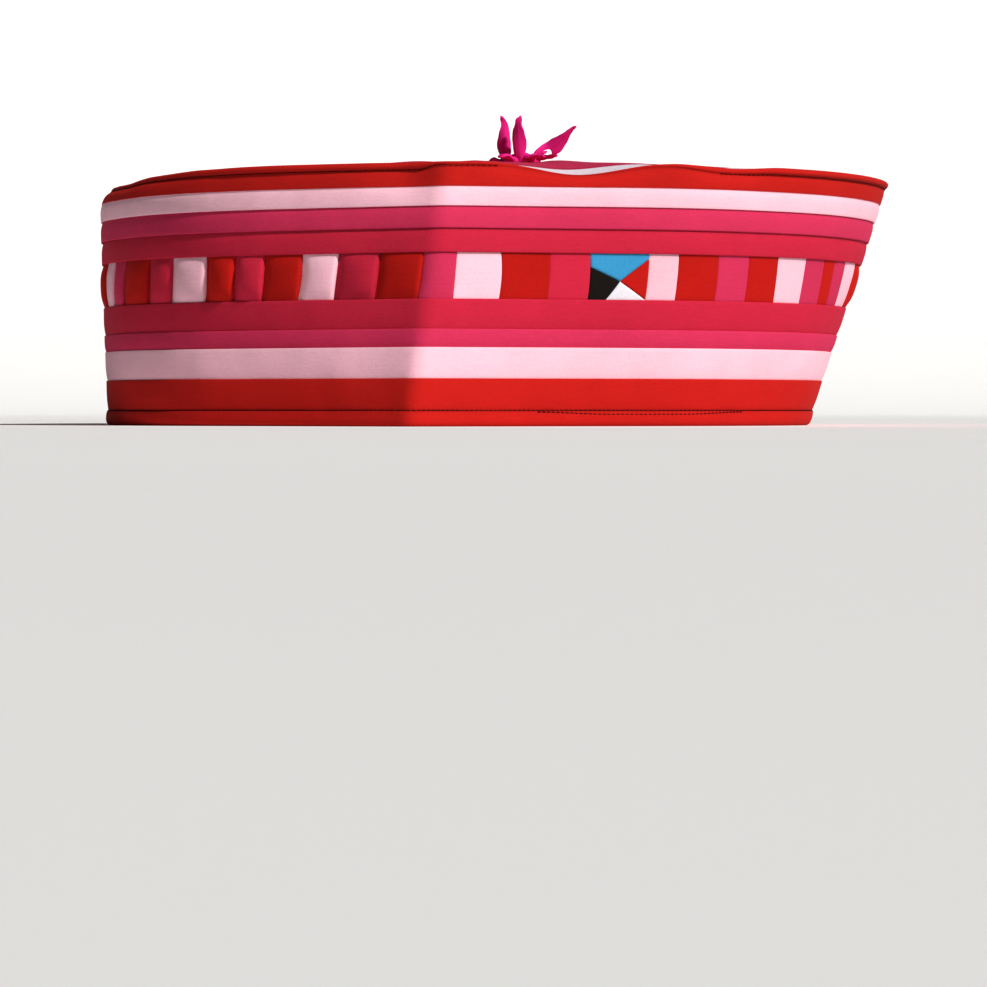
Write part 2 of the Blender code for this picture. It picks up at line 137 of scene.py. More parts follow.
# The block's pieces: corners as shares of its width and height, in order round each
BLOCK_MEETING = (0.52, 0.40)
BLOCK_PIECES = [
    ("block_blue_triangle", "blue", [(0, 0.70), BLOCK_MEETING, (1, 0.90), (1, 1), (0, 1)]),
    ("block_black_triangle", "black", [(0, 0), (0.31, 0), BLOCK_MEETING, (0, 0.70)]),
    ("block_red_triangle", "patch_red", [(1, 0), (1, 0.90), BLOCK_MEETING]),
    ("block_white_triangle", "white", [(0.31, 0), (1, 0), BLOCK_MEETING]),
]
BLOCK_ROWS = 52
BLOCK_COLUMNS = 56

# Where the top edge rolls inwards, as in the solids: the fold's place along the wall, its
# reach and its height in millimetres, and its turn in degrees
EDGE_FOLDS = [
    (-118, 80, 7.2, 80),
    (-168, 62, 10.6, 82),
    (31, 25, 6.4, 94),
    (69, 16, 5.6, 58),
    (215, 60, 7.0, 40),
]
# The wall's dents in millimetres: place along and up the wall, half width, half height and
# depth. The first has moved a little from the solids', and the last is the cloth's own
DENTS = [
    (-10, 61, 11, 9, 1.4),
    (-62, 26, 34, 24, 1.0),
    (96, 12, 30, 16, 0.9),
    (205, 30, 45, 26, 1.4),
    (-13, 20, 12, 34, 0.35),
]

# Soft unevenness of the sewn cloth: wavelength and height
BROAD_WAVE = (26 * MM, 0.55 * MM)
SMALL_WAVE = (8 * MM, 0.16 * MM)

# How one strip laps over the next: how far its edge stands proud and the covered one is
# sunk, the layer between them, the width that is tucked away, and the back's depth
PROUD = 0.30 * MM
SUNK = -0.24 * MM
LAYER_GAP = 0.04 * MM
TUCK = 1.1 * MM
BACK = -0.66 * MM
# A strip's face puffs a little, and from this share of its width it drops to the covered edge
STRIP_PUFF = 0.10 * MM
EDGE_DROP_START = 0.55
# How far the shade of a seam reaches
SEAM_SHADE_REACH = 0.7 * MM
# The grid of a strip: steps round its folded edge, the height and least number of the rows
# over its face, a last row close to the covered edge, and columns round the cap
FOLD_STEPS = 5
ROW_STEP = 0.9 * MM
LEAST_ROWS = 6
LAST_ROW = 0.25 * MM
COLUMNS = 540
# Points nearer than this are one, and edges over this angle stay sharp
MERGE_DISTANCE = 0.002 * MM
SHARP_ANGLE = math.radians(70)

# The patches' grid: its columns, as shares of the width, are close together at the seams
PATCH_ROWS = 14
PATCH_COLUMNS = [0, 0.012, 0.03, 0.06, 0.10, 0.17, 0.28, 0.42, 0.58, 0.72, 0.83, 0.90, 0.94]
PATCH_COLUMNS += [0.97, 0.988, 1]

# The patches lie flat from the crease to the far right, and are puffy elsewhere. A puffy
# one rises from a soft left edge to a crisp right one
FLAT_START = -4 * MM
FLAT_START_FADE = 10 * MM
FLAT_END = 150 * MM
FLAT_END_FADE = 40 * MM
PATCH_ROUNDING = 0.85 * MM
PATCH_PUFF = 0.08 * MM
PATCH_GROOVE = 0.42 * MM
PATCH_BACK = BACK - 0.1 * MM
PUFFY_PATCH_PUFF = (0.5 * MM, 1.1 * MM)
PUFFY_LEFT_ROUNDING = 2.2 * MM
PUFFY_RIGHT_ROUNDING = 0.75 * MM
PUFFY_RIGHT_LIFT = 0.55 * MM

# The block's pieces are thin, with smaller edges
BLOCK_ROUNDING = 0.5 * PATCH_ROUNDING
BLOCK_GROOVE = 0.4 * PATCH_GROOVE
BLOCK_PUFF = 0.14 * MM
BLOCK_THICKNESS = 0.35 * MM

# The seams between patches bow and tilt a little. Their tops also lean towards the crease
# by so much, right and left of it, and stand straight round the back
SEAM_BOW = 0.45 * MM
BOW_LENGTH = 9 * MM
TILT_LENGTH = 7 * MM
LEAN_RIGHT = 1.3 * MM
LEAN_LEFT = 0.5 * MM
LEAN_START_FADE = 12 * MM
LEAN_END = 180 * MM
LEAN_END_FADE = 60 * MM
# Past here the seams keep their share of the way round, and not their distance
EVEN_START = 110 * MM
EVEN_START_FADE = 70 * MM

# Crown, as in the solids, and its fine gathers
PALE_RING_SHARE = 0.15
CENTRE_OFFSET = 5 * MM
DOME_RISE = 4.5 * MM
DOME_FULLNESS = 1.5
GATHERS = 14
GATHER_DEPTH = 0.5 * MM
DIPS_END = 0.3
GATHERS_RISE = 0.5
GATHERS_FADE = 0.2
CROWN_WAVE = (22 * MM, 0.5 * MM)
CROWN_ROWS = 34
CROWN_COLUMNS = 448
# Painted shade: the gathered centre's whole colour is lowered by this tone
CROWN_SHADED_TONE = -1.6

# Extra points of the pale ring's top: share of the way to the middle, depth and seam
# shade. It turns down at the rim, and its inner edge runs on under the gathered centre
PALE_RING_ROWS = 10
PALE_RING_DIP = 0.35 * MM
PALE_RING_OUTER = (-0.007, 0.75 * MM, 1)
PALE_RING_SHOULDER = (0.004, 0.12 * MM, 0.7)
PALE_RING_INNER = (PALE_RING_SHARE + 0.012, 0.42 * MM, 1)
# The gathered centre's folded edge: shares of the way in from the ring's inner edge
CENTRE_EDGE = (0.0005, 0.002, 0.006)
CENTRE_FOLD = 0.014
# Its underside starts at this share of the whole way in
CENTRE_BACK_START = 0.18
CENTRE_TOP_DEPTH = 0.16 * MM
CENTRE_FOLD_DEPTH = 0.32 * MM
CENTRE_EDGE_LIFT = 0.12 * MM
CENTRE_EDGE_ROUNDING = 0.4 * MM

# Tuft: its button, and its petals' thickness and grid
BUTTON_RADIUS = 4.2 * MM
BUTTON_HEIGHT = 2.6 * MM
BUTTON_FLATNESS = 0.42
BUTTON_PINCH = 0.10
TUFT_OFFSET = 2.5 * MM
PETAL_THICKNESS = 0.7 * MM
PETAL_CUP = 0.6 * MM
PETAL_WAVE = 0.35 * MM
PETAL_COLUMNS = 16
PETAL_ROWS = 32
# Shares of a petal's length: where its twist is whole, and its hook and round tip start
TWIST_END = 0.4
HOOK_START = 0.68
ROUND_TIP = 0.93
# Petals in millimetres and degrees: length, how steeply root and tip rise, width, twist and
# outline. One hooks outwards near its tip and is sewn on a little further out, and one is
# looped round an eye
Petal = namedtuple("Petal", "length root tip width twist outline hook out eye", defaults=(0, 0, False))
PETALS = [
    Petal(6.0, 8, 16, 4.0, 6, "short"),
    Petal(6.5, 16, 36, 4.0, -15, "short"),
    Petal(7.0, 14, 30, 4.4, 14, "short"),
    Petal(6.5, 16, 34, 4.0, 12, "short"),
    Petal(5.5, 4, 14, 4.2, 6, "short"),
    Petal(11.8, 85, 103, 4.7, 62, "broad", hook=55, out=1.2),
    Petal(5.5, 4, 14, 4.2, -6, "short"),
    Petal(11.6, 66, 92, 4.4, -12, "waisted"),
    Petal(5.5, 6, 14, 4.2, 6, "short"),
    Petal(14.8, 26, 48, 5.0, -75, "hooked", eye=True),
]
# Widths of a petal at even steps from its root to its tip, as shares of its width
PETAL_OUTLINES = {
    "short": [0.75, 0.95, 0.85, 0.60, 0.14],
    "broad": [1.00, 0.98, 0.86, 0.64, 0.38, 0.18],
    "waisted": [0.46, 0.52, 0.60, 0.70, 0.66, 0.38, 0.38],
    "hooked": [0.90, 0.86, 0.90, 0.84, 0.58, 0.26, 0.16],
}
# The eye's middle and half size, in the petal's rows and columns
EYE_ROW, EYE_COLUMN = 9, 9
EYE_HALF_ROWS, EYE_HALF_COLUMNS = 3, 4

# Machine stitches: their pitch, and the length, width and height of each. The hem's second
# row is short and drifts down between its ends, and the rim's row shows from the second dip
# of the edge, round the back, to just past the crease
STITCH_PITCH = 1.30 * MM
HEM_STITCH = (1.15 * MM, 0.34 * MM, 0.22 * MM)
RIM_STITCH = (1.50 * MM, 0.20 * MM, 0.14 * MM)
SECOND_ROW = (34 * MM, 96 * MM)
SECOND_ROW_FADE = 20 * MM
SECOND_ROW_DRIFT = 0.55 * MM
RIM_ROW_END = 12 * MM
# The share of the way round over which a row's direction is taken
LOOK_AHEAD = 0.001

# Cloth colours (linear) with roughness
CLOTHS = {
    "red": ((0.51, 0.0222, 0.0180), 0.82),
    "light_pink": ((0.92, 0.562, 0.650), 0.85),
    "magenta": ((0.611, 0.0480, 0.126), 0.82),
    "crimson": ((0.554, 0.0305, 0.069), 0.82),
    "patch_red": ((0.50, 0.0185, 0.0140), 0.82),
    "blue": ((0.060, 0.33, 0.57), 0.80),
    "black": ((0.018, 0.015, 0.013), 0.85),
    "white": ((0.76, 0.76, 0.82), 0.82),
    "pale_pink": ((0.82, 0.72, 0.80), 0.82),
    "hot_pink": ((0.76, 0.031, 0.29), 0.74),
    "backing": ((0.20, 0.010, 0.011), 0.88),
}
THREAD_PITCH = 0.30 * MM
# How fine the cloth's patterns are: slubs along and across the threads, fuzz, dye clouds
# and the small puckers of its seams
SLUB_SCALE = (260, 1900, 1)
FUZZ_SCALE = 2100
DYE_SCALE = 110
PUCKER_SCALE = 420

# Camera: it looks at the front from a little to the right, level and just above the floor
CAMERA_AZIMUTH = math.radians(6.5)
CAMERA_DISTANCE = 1.0
CAMERA_HEIGHT = 4 * MM
PICTURE = 987
PIXELS_PER_METRE = 3780
SENSOR = 36
HEM_PIXEL_Y = 425
# Under 1, the tones between black and white come out deeper
PICTURE_GAMMA = 0.85

# Studio, in metres and degrees: a floor that bends up behind the cap, a key light like low
# sun from the right, and a faint sky
FLOOR_HALF_SIZE = 4
FLOOR_ROWS = 60
FLOOR_BEND_START = 2.0
FLOOR_BEND_RADIUS = 1.2
KEY_AZIMUTH = 46
KEY_ELEVATION = 40
KEY_STRENGTH = 4.0
KEY_SOFTNESS = 5
KEY_COLOUR = (1.0, 0.98, 0.95)
SKY_COLOUR = (0.84, 0.88, 1.0, 1)
SKY_STRENGTH = 0.06

dice = random.Random(7)


class Shade:
    """A value that varies over the cloth. Arithmetic on it adds Math nodes."""

    def __init__(self, tree, socket):
        self.tree = tree
        self.socket = socket

    def node(self, kind, settings, inputs, output=0):
        """Adds a node with its settings and the values or links of its sockets."""
        made = self.tree.nodes.new(kind)
        for key, value in settings.items():
            setattr(made, key, value)
        for key, value in inputs.items():
            if isinstance(value, Shade):
                self.tree.links.new(value.socket, made.inputs[key])
            else:
                made.inputs[key].default_value = value
        return Shade(self.tree, made.outputs[output])

    def feed(self, shader, name):
        self.tree.links.new(self.socket, shader.inputs[name])

    def maths(self, operation, *values):
        return self.node("ShaderNodeMath", {"operation": operation}, dict(enumerate(values)))

    def __add__(self, other):
        return self.maths("ADD", self, other)

    def __radd__(self, other):
        return self.maths("ADD", other, self)

    def __sub__(self, other):
        return self.maths("SUBTRACT", self, other)

    def __rsub__(self, other):
        return self.maths("SUBTRACT", other, self)

    def __mul__(self, other):
        return self.maths("MULTIPLY", self, other)

    def __rmul__(self, other):
        return self.maths("MULTIPLY", other, self)

    def __abs__(self):
        return self.maths("ABSOLUTE", self)

    def sine(self):
        return self.maths("SINE", self)

    def blend(self, first, second):
        """The colour that goes from first, where this is 0, to second, where it is 1."""
        sockets = {0: self, 6: first, 7: second}
        return self.node("ShaderNodeMix", {"data_type": "RGBA"}, sockets, 2)

    def clouds(self, place, scale, detail=2):
        """Noise from 0 to 1."""
        sockets = {"Vector": place, "Scale": scale, "Detail": detail}
        return self.node("ShaderNodeTexNoise", {"noise_dimensions": "3D"}, sockets)


def darker(colour, share):
    return (*[channel * share for channel in colour], 1)


def new_material(name):
    """A material, its shader, and a start for the values that vary over the surface."""
    material = bpy.data.materials.new(name)
    material.use_nodes = True
    tree = material.node_tree
    return material, tree.nodes["Principled BSDF"], Shade(tree, None)


@cache
def cotton(name):
    """Plain-woven cotton: threads over and under, slubs, a cloudy dye and painted shade at seams."""
    material, shader, start = new_material(name)
    colour, roughness = CLOTHS[name]
    weave_place = start.node("ShaderNodeUVMap", {"uv_map": "weave"}, {})
    body_place = start.node("ShaderNodeTexCoord", {}, {}, "Object")
    # The seam layer holds painted shade, where seams, laps and folds would shade the cloth
    seam = start.node("ShaderNodeAttribute", {"attribute_name": "seam"}, {}, "Fac")
    tone = start.node("ShaderNodeAttribute", {"attribute_name": "tone"}, {}, "Fac")
    along = start.node("ShaderNodeSeparateXYZ", {}, {0: weave_place}, 0)
    across = start.node("ShaderNodeSeparateXYZ", {}, {0: weave_place}, 1)

    threads = math.pi / THREAD_PITCH
    warp = (along * threads).sine()
    weft = (across * threads).sine()
    over = warp * weft
    weave = abs(warp) * (0.5 + 0.5 * over) + abs(weft) * (0.5 - 0.5 * over)

    stretched = start.node(
        "ShaderNodeVectorMath", {"operation": "MULTIPLY"}, {0: weave_place, 1: SLUB_SCALE}
    )
    slub = start.clouds(stretched, 1.0)
    fuzz = start.clouds(body_place, FUZZ_SCALE)
    dye = start.clouds(body_place, DYE_SCALE, 3)
    pucker = start.clouds(body_place, PUCKER_SCALE)

    # How much each pattern lightens the dyed cloth, and how much the painted seam shade darkens it
    light = 0.83 + 0.03 * weave + 0.14 * (slub - 0.5) + 0.14 * (dye - 0.5) + 0.20 * (fuzz - 0.5)
    light = light + 0.10 * tone
    depth = light - 0.42 * seam * seam
    base = depth.blend(darker(colour, 0.28), darker(colour, 1.18))
    base.feed(shader, "Base Color")

    dull = roughness + 0.10 * (fuzz - 0.5)
    dull.feed(shader, "Roughness")
    shader.inputs["Sheen Weight"].default_value = 0.08
    shader.inputs["Sheen Roughness"].default_value = 0.45
    shader.inputs["Sheen Tint"].default_value = (*colour, 1)
    shader.inputs["Specular IOR Level"].default_value = 0.11
    shader.inputs["Specular Tint"].default_value = (*colour, 1)

    # Heights in millimetres
    relief = 0.012 * weave + 0.020 * slub + 0.030 * fuzz + (0.05 + 0.16 * seam) * pucker
    sockets = {"Height": relief, "Strength": 1.0, "Distance": MM}
    start.node("ShaderNodeBump", {}, sockets).feed(shader, "Normal")
    return material


@cache
def twisted_thread():
    """Dark red sewing thread, with its twist."""
    material, shader, start = new_material("dark_thread")
    body_place = start.node("ShaderNodeTexCoord", {}, {}, "Object")
    strands = start.node(
        "ShaderNodeTexWave",
        {"wave_type": "BANDS", "bands_direction": "DIAGONAL"},
        {"Vector": body_place, "Scale": 900, "Distortion": 1.5},
        "Fac",
    )
    base = strands.blend((0.035, 0.002, 0.002, 1), (0.095, 0.005, 0.005, 1))
    base.feed(shader, "Base Color")
    shader.inputs["Roughness"].default_value = 0.85
    shader.inputs["Specular IOR Level"].default_value = 0.1
    sockets = {"Height": strands, "Distance": 0.05 * MM}
    start.node("ShaderNodeBump", {}, sockets).feed(shader, "Normal")
    return material


def studio_paper():
    """The pale, almost plain surface of the floor."""
    material, shader, start = new_material("studio_paper")
    place = start.node("ShaderNodeTexCoord", {}, {}, "Object")
    grain = start.clouds(place, 6)
    base = grain.blend((0.88, 0.88, 0.88, 1), (0.90, 0.90, 0.90, 1))
    base.feed(shader, "Base Color")
    shader.inputs["Roughness"].default_value = 0.9
    return material


def smooth(share):
    """An S-shaped ramp that goes from 0 to 1."""
    share = min(1, max(0, share))
    return share * share * (3 - 2 * share)


def bump(distance, reach):
    """A soft hill, 1 at its centre and 0 past its reach."""
    return smooth(1 - abs(distance) / reach)


def quarter_runs(height):
    """The crease's rounding, the flat facet and the side arc: length and turn of each."""
    share = height / BAND_HEIGHT
    angle = FACET_ANGLE_HEM + (FACET_ANGLE_TOP - FACET_ANGLE_HEM) * share
    radius = CREASE_RADIUS_HEM + (CREASE_RADIUS_TOP - CREASE_RADIUS_HEM) * share
    width = HALF_WIDTH + SIDE_FLARE * share - radius * math.sin(angle)
    depth = HALF_DEPTH + FRONT_FLARE * share - radius * (1 - math.cos(angle))
    left_over = 1 - math.sin(angle)
    facet = width * math.cos(angle) / left_over - depth
    arc_radius = (depth * math.cos(angle) - width * math.sin(angle)) / left_over
    side_turn = math.pi / 2 - angle
    return [(radius * angle, angle), (facet, 0), (arc_radius * side_turn, side_turn)]


def perimeter(height):
    return 4 * sum(length for length, turn in quarter_runs(height))


ROUND_LENGTH = perimeter(BAND_HEIGHT / 2)


def along_quarter(distance, runs):
    """The point and heading at a distance from the crease, which is at the origin."""
    place, heading = Vector((0, 0)), 0
    for length, turn in runs:
        step = min(distance, length)
        bend = turn * step / length
        chord = step if abs(bend) < 1e-9 else step * math.sin(bend / 2) / (bend / 2)
        middle = heading + bend / 2
        place = place + chord * Vector((math.cos(middle), math.sin(middle)))
        heading += bend
        distance -= step
    return place, heading


def plan_point(turn, height):
    """The wall's outer face in plan, and its outward normal, at a share of the way round."""
    runs = quarter_runs(height)
    length = sum(run[0] for run in runs)
    quarter, share = divmod((turn % 1) * 4, 1)
    mirrored = quarter in (1, 3)
    place, heading = along_quarter((1 - share if mirrored else share) * length, runs)
    x, y = place.x, place.y - HALF_DEPTH - FRONT_FLARE * height / BAND_HEIGHT
    normal = Vector((math.sin(heading), -math.cos(heading)))
    right = 1 if quarter < 2 else -1
    front = 1 if quarter in (0, 3) else -1
    return Vector((right * x, front * y)), Vector((right * normal.x, front * normal.y))


def signed_along(turn):
    """The distance from the front crease at mid height, right positive, left negative."""
    turn = turn % 1
    return (turn if turn <= 0.5 else turn - 1) * ROUND_LENGTH


def edge_fold(turn):
    """How much of the wall's top rolls inwards at this place, and through what angle.
    The height is a mean in which the nearest fold counts most, and far ones a very little."""
    along = signed_along(turn)
    total, height, angle = 0, 0, 0
    for centre, reach, tall, roll in EDGE_FOLDS:
        share = bump(along - centre * MM, reach * MM)
        weight = (share + 0.001) ** 3
        total += weight
        height += weight * (tall * MM)
        angle = max(angle, share * math.radians(roll))
    return height / total, angle


def dent_depth(turn, height):
    place = signed_along(turn)
    total = 0
    for along, up, half, tall, depth in DENTS:
        beside = bump(place - along * MM, half * MM)
        if beside > 0:
            total += depth * MM * beside * bump(height - up * MM, tall * MM)
    return total


def unevenness(turn, height):
    """Soft waves of the sewn cloth, the same for every layer, so that layers stay apart."""
    angle = math.tau * turn
    spot = Vector((HALF_WIDTH * math.cos(angle), HALF_WIDTH * math.sin(angle), height))
    total = 0
    for length, rise in (BROAD_WAVE, SMALL_WAVE):
        total += rise * noise.noise(spot / length)
    return total


def wall_point(turn, height, offset):
    """A point of the wall: up it by height, and off its outer face by offset."""
    rolled, angle = edge_fold(turn)
    start = BAND_HEIGHT - rolled
    over = max(0, height - start)
    place, normal = plan_point(turn, min(height, BAND_HEIGHT))
    bend = angle * over / rolled
    inwards, up = 0, height
    if bend > 1e-6:
        radius = rolled / angle
        inwards = radius * (1 - math.cos(bend))
        up = start + radius * math.sin(bend)
    offset += unevenness(turn, height)
    away = offset * math.cos(bend) - inwards - dent_depth(turn, height)
    flat = place + normal * away
    lean = SIDEWAYS_LEAN * height / BAND_HEIGHT
    return Vector((flat.x + lean, flat.y, up + offset * math.sin(bend))) + PLAN_SHIFT


def seat_on_solids():
    """The shift that brings the wall over the solids' hem."""
    low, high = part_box("hem_binding")
    top = HEM_HEIGHT - GAP / 2
    right, normal = plan_point(0.25, top)
    front, normal = plan_point(0, top)
    lean = SIDEWAYS_LEAN * top / BAND_HEIGHT
    return Vector((high[0] - right.x - STRIP_STEP - lean, low[1] - front.y + STRIP_STEP, 0))


PLAN_SHIFT = seat_on_solids()


def cut_cloth(rows, columns):
    """A flat grid of cloth, with the row and column of each vertex and its layers."""
    bm = bmesh.new()
    weave = bm.loops.layers.uv.new("weave")
    # Painted shade of each vertex: how much seams, laps and folds would shade the cloth there
    seam = bm.verts.layers.float.new("seam")
    bm.verts.layers.float.new("tone")
    bmesh.ops.create_grid(bm, x_segments=columns, y_segments=rows, size=1)
    places = {}
    for vert in bm.verts:
        column = round((vert.co.x + 1) / 2 * columns)
        row = round((vert.co.y + 1) / 2 * rows)
        places[vert] = (row, column)
    return bm, places, weave, seam


def lengths_along(section):
    """How far each point of a section is along it."""
    lengths = [0]
    for before, after in zip(section, section[1:] + section[:1]):
        lengths.append(lengths[-1] + math.dist(before[:2], after[:2]))
    return lengths


def mark_weave(bm, places, weave, across, width, columns, start=0):
    """Gives the weave its place: across the section, and width along the grid's columns."""
    for face in bm.faces:
        for loop in face.loops:
            row, column = places[loop.vert]
            loop[weave].uv = (start + width * column / columns, across[row])


def to_mesh(bm, name):
    mesh = bpy.data.meshes.new(name)
    bm.to_mesh(mesh)
    bm.free()
    return mesh


def add_object(name, data):
    added = bpy.data.objects.new(name, data)
    bpy.context.scene.collection.objects.link(added)
    return added


def finish_piece(bm, name, cloth_name, nodes=()):
    """Closes the mesh, smooths it, and makes it a piece of the cap."""
    bmesh.ops.remove_doubles(bm, verts=bm.verts, dist=MERGE_DISTANCE)
    bmesh.ops.recalc_face_normals(bm, faces=bm.faces)
    mesh = to_mesh(bm, name)
    mesh.shade_smooth()
    mesh.set_sharp_from_angle(angle=SHARP_ANGLE)
    piece = add_object(name, mesh)
    if cloth_name == "thread":
        mesh.materials.append(twisted_thread())
    else:
        mesh.materials.append(cotton(cloth_name))
    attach(piece, "root")
    if nodes:
        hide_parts(*nodes)
    return piece


def sew_ring(name, cloth_name, section, nodes=(), columns=COLUMNS, place=wall_point):
    """A closed ring of cloth: its section of (height, offset, painted seam shade) goes round the cap.
    """
    rows = len(section)
    bm, places, weave, seam = cut_cloth(rows, columns)
    mark_weave(bm, places, weave, lengths_along(section), ROUND_LENGTH, columns)
    for vert, (row, column) in places.items():
        height, offset, shade = section[row % rows]
        vert[seam] = shade
        vert.co = place((column % columns) / columns, height, offset)
    return finish_piece(bm, name, cloth_name, nodes)


# Painted shade beside a seam, a lap or a fold, fading with distance
def seam_shade(distance):
    return math.exp(-max(0, distance) / SEAM_SHADE_REACH)


def fold_points(proud, under):
    """A folded edge from its underside round to its face: distance in, offset, shade."""
    radius = (proud - under) / 2
    points = []
    for step in range(FOLD_STEPS + 1):
        angle = math.pi * (step / FOLD_STEPS - 0.5)
        inwards = radius * (1 - math.cos(angle))
        # Painted shade under the folded edge, where it would shadow the strip it covers
        shade = 0.8 * smooth(1 - 1.6 * step / FOLD_STEPS)
        points.append((inwards, (proud + under) / 2 + radius * math.sin(angle), shade))
    return points


def sunk_under(strength):
    """How deep an edge lies that a lap of this strength covers."""
    return SUNK * (0.4 + 0.6 * strength)


def lapped_section(low, high, lapping_upper, lap, cover, tuck=TUCK):
    """A strip's section. One edge is folded and lies proud, the other is tucked away."""
    width = high - low
    proud = PROUD * lap
    under = sunk_under(lap) + LAYER_GAP
    sunk = sunk_under(cover)
    points = [(TUCK + GAP, under, 1)] + fold_points(proud, under)
    rows = max(LEAST_ROWS, round(width / ROW_STEP))
    for row in range(1, rows):
        share = row / rows
        spot = (proud - under) / 2 + (width - (proud - under) / 2) * share
        puff = STRIP_PUFF * math.sin(math.pi * share)
        drop = smooth((share - EDGE_DROP_START) / (1 - EDGE_DROP_START))
        offset = proud + (0.5 * sunk - proud) * (0.45 * share + 0.55 * drop) + puff
        # Painted shadow of the covering lap, deepest at the covered edge and as strong as the cover
        points.append((spot, offset, cover * seam_shade(width - spot)))
    points.append((width - LAST_ROW, 0.8 * sunk, cover * seam_shade(LAST_ROW)))
    points += [(width, sunk, cover), (width + tuck, sunk, 1), (width + tuck, BACK, 1)]
    points.append((TUCK + GAP, BACK, 1))
    if lapping_upper:
        return [(high - spot, offset, shade) for spot, offset, shade in points]
    return [(low + spot, offset, shade) for spot, offset, shade in points]


def make_strips():
    low = HEM_HEIGHT
    below_patches = True
    for node, cloth_name, height, lap, cover in STRIPS:
        high = low + height
        if node == "patchwork_band":
            make_patches(low, high)
            make_block(low, high)
            below_patches = False
        elif node == "red_strip_upper":
            over = high + TOP_STRIP_OVER
            section = lapped_section(low, over, False, lap, cover, TOP_STRIP_TUCK)
            sew_ring(node + "_cloth", cloth_name, section, [node], place=top_strip_point)
        else:
            section = lapped_section(low, high, below_patches, lap, cover)
            sew_ring(node + "_cloth", cloth_name, section, [node])
        low = high


def make_hem():
    section = [(height * MM, offset * MM, shade) for height, offset, shade in HEM_SECTION]
    sew_ring("hem_binding_cloth", "red", section, ["hem_binding"])


def make_inner_band():
    """The plain backing inside, uneven as the strips on it are."""
    outer = -STRIP_THICKNESS - GAP
    inner = outer - BAND_THICKNESS
    low = HEM_FLOOR + GAP
    levels = []
    for row in range(INNER_BAND_ROWS + 1):
        levels.append(low + (INNER_BAND_TOP - low) * row / INNER_BAND_ROWS)
    section = [(level, outer, 0) for level in levels]
    section += [(level, inner, 0) for level in reversed(levels)]
    sew_ring("inner_band_cloth", "backing", section, ["inner_band"], INNER_BAND_COLUMNS)


def roll_radius(turn):
    """The rim's radius: full on the left and the back, thin right of the crease."""
    along = signed_along(turn)
    thin = smooth((along - THIN_START) / THIN_START_FADE)
    thin *= smooth((THIN_END - along) / THIN_END_FADE)
    return ROLL_RADIUS + (THIN_ROLL_RADIUS - ROLL_RADIUS) * thin


def top_strip_point(turn, height, offset):
    """The top strip reaches up to the rim, so it is taller where the rim is thin."""
    low, high = TOP_STRIP_GROWS_FROM, BAND_HEIGHT - 2 * ROLL_RADIUS
    more = 2 * (ROLL_RADIUS - roll_radius(turn)) * smooth((height - low) / (high - low))
    return wall_point(turn, height + more, offset)


def roll_point(turn, up, out):
    """A point of the rim's round section, given as shares of its radius."""
    radius = roll_radius(turn)
    height = BAND_HEIGHT - radius + radius * up
    return wall_point(turn, height, -STRIP_THICKNESS / 2 + ROLL_WIDENING * radius * out)


def make_top_roll():
    """The rolled rim, a little wider than tall."""
    section = []
    for side in range(ROLL_SIDES):
        angle = math.tau * side / ROLL_SIDES
        # Painted shade on the rim's underside
        shade = 0.9 * smooth(-math.sin(angle))
        section.append((math.sin(angle), math.cos(angle), shade))
    sew_ring("top_binding_cloth", "red", section, ["top_binding"], place=roll_point)


def patch_seams(band_length):
    """Where the seams lie along the band, from the block's right edge round to its left."""
    right = [FIRST_SEAM]
    for width in RIGHT_PATCHES:
        right.append(right[-1] + width * MM)
    left = [FIRST_SEAM]
    for width in LEFT_PATCHES:
        left.append(left[-1] - width * MM)
    back_start, back_end = right[-1], band_length + left[-1]
    count = round((back_end - back_start) / BACK_PATCH)
    step = (back_end - back_start) / count
    back = [back_start + step * number for number in range(1, count)]
    front = right[: BLOCK_PATCH + 1]
    after_block = right[BLOCK_PATCH + 1 :]
    left = [band_length + seam for seam in reversed(left)]
    return after_block + back + left + [band_length + seam for seam in front[1:]]


def patch_cloths(count):
    """The cloth of each patch, in the order of the seams."""
    after_block = RIGHT_CLOTHS[BLOCK_PATCH + 1 :]
    before_block = LEFT_CLOTHS[::-1] + RIGHT_CLOTHS[:BLOCK_PATCH]
    missing = count - len(after_block) - len(before_block)
    back = [BACK_CLOTHS[number % len(BACK_CLOTHS)] for number in range(missing)]
    return after_block + back + before_block


def from_crease(along, band_length):
    """A place on the band as a distance from the crease, right positive, left negative."""
    return along if along < band_length / 2 else along - band_length


def band_turn(along, height, band_length):
    """The turn of a place on the patched band. Near the front it keeps its distance from
    the crease at all heights, and round the back it keeps its share of the whole."""
    signed = from_crease(along, band_length)
    even = signed / band_length
    near = signed / perimeter(height)
    return near + (even - near) * smooth((abs(signed) - EVEN_START) / EVEN_START_FADE)


def seam_shift(along, share, band_length):
    """How far a seam leaves its straight line, at a share of its height."""
    bow = 0.5 + noise.noise(Vector((along / BOW_LENGTH, 3, 0)))
    tilt = noise.noise(Vector((along / TILT_LENGTH, 0, 8)))
    signed = from_crease(along, band_length)
    lean = LEAN_LEFT * smooth(-signed / LEAN_START_FADE)
    lean -= LEAN_RIGHT * smooth(signed / LEAN_START_FADE)
    lean *= smooth((LEAN_END - abs(signed)) / LEAN_END_FADE)
    bowed = SEAM_BOW * (bow * (4 * share * (1 - share) - 0.5) + 1.2 * tilt * (share - 0.5))
    return bowed + lean * (share - 0.5)


def rounded_edge(distance, radius):
    """A quarter circle: 0 at the edge and 1 past the radius."""
    inside = min(1, max(0, distance) / radius)
    return math.sqrt(1 - (1 - inside) ** 2)


